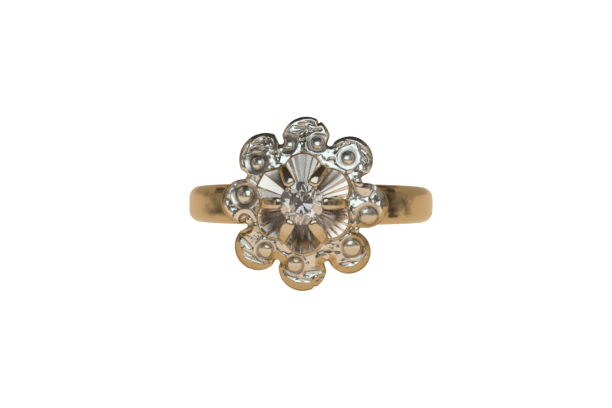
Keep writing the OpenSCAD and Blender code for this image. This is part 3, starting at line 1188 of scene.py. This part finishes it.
def make_camera():
    """The photograph's view, from a little to the right and above."""
    azimuth, elevation, roll = radians(2.5), radians(14.6), radians(-0.35)
    level = cos(elevation)
    back = Vector((sin(azimuth) * level, -cos(azimuth) * level, sin(elevation)))
    look = (-back).to_track_quat("-Z", "Y") @ Quaternion((0, 0, 1), roll)
    right, up = look @ Vector((1, 0, 0)), look @ Vector((0, 1, 0))
    data = bpy.data.cameras.new("camera")
    data.lens = 185.3
    data.sensor_width = 36
    data.clip_start = 0.01
    camera = put("camera", data)
    camera.matrix_world = look.to_matrix().to_4x4()
    camera.location = CENTRE + back * CAMERA_AWAY - right * 0.00041 + up * 0.00003
    bpy.context.scene.camera = camera
    return back, right, up


def key_light(back, right, up):
    """One large soft light that faces the ring from above the camera."""
    width, height = 0.30, 0.25
    data = bpy.data.lights.new("key", "AREA")
    data.shape = "RECTANGLE"
    data.size, data.size_y = width, height
    data.color = (0.84, 0.97, 1.0)
    data.energy = 1.25 * pi * width * height
    light = put("key", data)
    (level, lift), (near, off) = polar(76, 1), polar(34, 1)
    way = back * near + (right * level + up * lift) * off
    light.matrix_world = way.to_track_quat("Z", "Y").to_matrix().to_4x4()
    light.location = CENTRE + way * 0.25
    light.visible_camera = False


def plain_sheet(name, corners, material, seen=True):
    sheet = new_piece(name, corners, [[0, 1, 2, 3]], Matrix(), smooth=False)
    sheet.data.materials.append(material)
    if not seen:
        sheet.visible_camera = False
        sheet.visible_shadow = False
        sheet.visible_diffuse = False


def card(name, start, end, top, material):
    """An upright card between two points on the floor, which only reflections show."""
    (x0, y0), (x1, y1) = start, end
    plain_sheet(name, [(x0, y0, 0), (x1, y1, 0), (x1, y1, top), (x0, y0, top)], material, seen=False)


def glow(name, colour):
    material, tree = new_material(name)
    shader = output(tree, "ShaderNodeEmission", {"Color": colour})
    show(tree, shader)
    return material


def mottled_glow(name, dark, light):
    """Uneven dark surroundings, as a room behind the lights."""
    material, tree = new_material(name)
    where = add(tree, "ShaderNodeTexCoord").outputs["Object"]
    patches = spread(tree, noise(tree, Vector=where, Scale=60.0, Detail=2.0), 0.4, 0.6)
    shader = output(tree, "ShaderNodeEmission", {"Color": mix_colours(tree, patches, dark, light)})
    show(tree, shader)
    return material


def by_ray(tree, others, camera):
    """One shader for what the camera sees, and another for what light and reflections meet."""
    ray = add(tree, "ShaderNodeLightPath").outputs["Is Camera Ray"]
    return output(tree, "ShaderNodeMixShader", {0: ray, 1: others, 2: camera})


def floor_material():
    """Pale paper. The camera sees it nearly white, and the metal sees a softer tone."""
    material, tree = new_material("pale_floor")
    paper = output(tree, "ShaderNodeBsdfDiffuse", {"Color": (0.86, 0.86, 0.86, 1)})
    lift = output(tree, "ShaderNodeEmission", {"Color": (1, 1, 1, 1), "Strength": 0.92})
    seen = output(tree, "ShaderNodeAddShader", {0: paper, 1: lift})
    reflected = output(tree, "ShaderNodeEmission", {"Color": (0.86, 0.70, 0.53, 1)})
    show(tree, by_ray(tree, reflected, seen))
    return material


def make_world():
    world = bpy.data.worlds.new("studio")
    world.use_nodes = True
    bpy.context.scene.world = world
    tree = world.node_tree
    tree.nodes.clear()
    dim = output(tree, "ShaderNodeBackground", {"Color": (0.06, 0.055, 0.05, 1)})
    white = output(tree, "ShaderNodeBackground", {"Color": (1, 1, 1, 1)})
    add(tree, "ShaderNodeOutputWorld", {"Surface": by_ray(tree, dim, white)})


def make_studio():
    """A pale floor, with dark flags beside the ring and warm cards round it."""
    make_world()
    half = 1.2
    corners = [(-half, -half, 0), (half, -half, 0), (half, half, 0), (-half, half, 0)]
    plain_sheet("floor", corners, floor_material())
    dark = mottled_glow("dark_flag", (0.08, 0.07, 0.06, 1), (0.42, 0.36, 0.30, 1))
    card("side_flag_left", (-0.06, -0.045), (-0.06, 0.014), 0.06, dark)
    card("side_flag_right", (0.06, -0.07), (0.06, 0.014), 0.06, dark)
    warm = glow("tan_card", (0.52, 0.41, 0.29, 1))
    card("back_card_left", (-0.10, 0.03), (-0.10, 0.25), 0.12, warm)
    card("back_card_right", (0.10, 0.03), (0.10, 0.25), 0.12, warm)
    card("back_card", (-0.10, 0.25), (0.10, 0.25), 0.12, warm)
    card("left_card", (-0.088, -0.121), (-0.124, -0.084), 0.1, warm)


def main():
    # The band's dark tone is painted shade and painted reflection
    dull = dict(grime=PAINTED_SHADE, stretch=(1.4, 0.7, 1.4), patchy=True)
    band_gold = metal("yellow_gold", rough=(0.15, 0.25), bump=1.8, scale=1.1, dirt_and_shade_strength=0.85, **dull)
    flower_metal = metal("white_gold_flower", rough=(0.13, 0.24), bump=0.25, scale=5.0, dirt_and_shade_strength=0.55)
    # The cup's dark tone is the painted shade in its fans
    dull = dict(fresh=CUP_METAL, grime=PAINTED_SHADE)
    cup_metal = metal("white_gold_cup", rough=(0.18, 0.30), bump=0.08, scale=4.0, dirt_and_shade_strength=0.8, **dull)
    claw_gold = metal("worn_claw_gold", rough=(0.10, 0.18), bump=0.10, scale=3.0, dirt_and_shade_strength=0.0)
    shank = union(make_shank(band_gold), make_gallery())
    sharpen(shank, 38)
    # Paints shade and dark reflections on the band beside the head
    paint_band_shade(shank)
    shank.name = "band_with_gallery"
    pieces = [
        (shank, "band", band_gold, "yellow_gold"),
        (make_flower(), "flower", flower_metal, "white_gold"),
        (make_cup(), "setting", cup_metal, "white_gold"),
        (make_claws(claw_gold), "setting", claw_gold, "white_gold"),
        (make_stone(), "stone", diamond(), "diamond"),
    ]
    for piece, node, finish, slot in pieces:
        piece.data.materials.clear()
        piece.data.materials.append(finish)
        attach(piece, "root")
        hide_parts(node)


key_light(*make_camera())
make_studio()
main()
bpy.context.scene.view_settings.view_transform = "Standard"
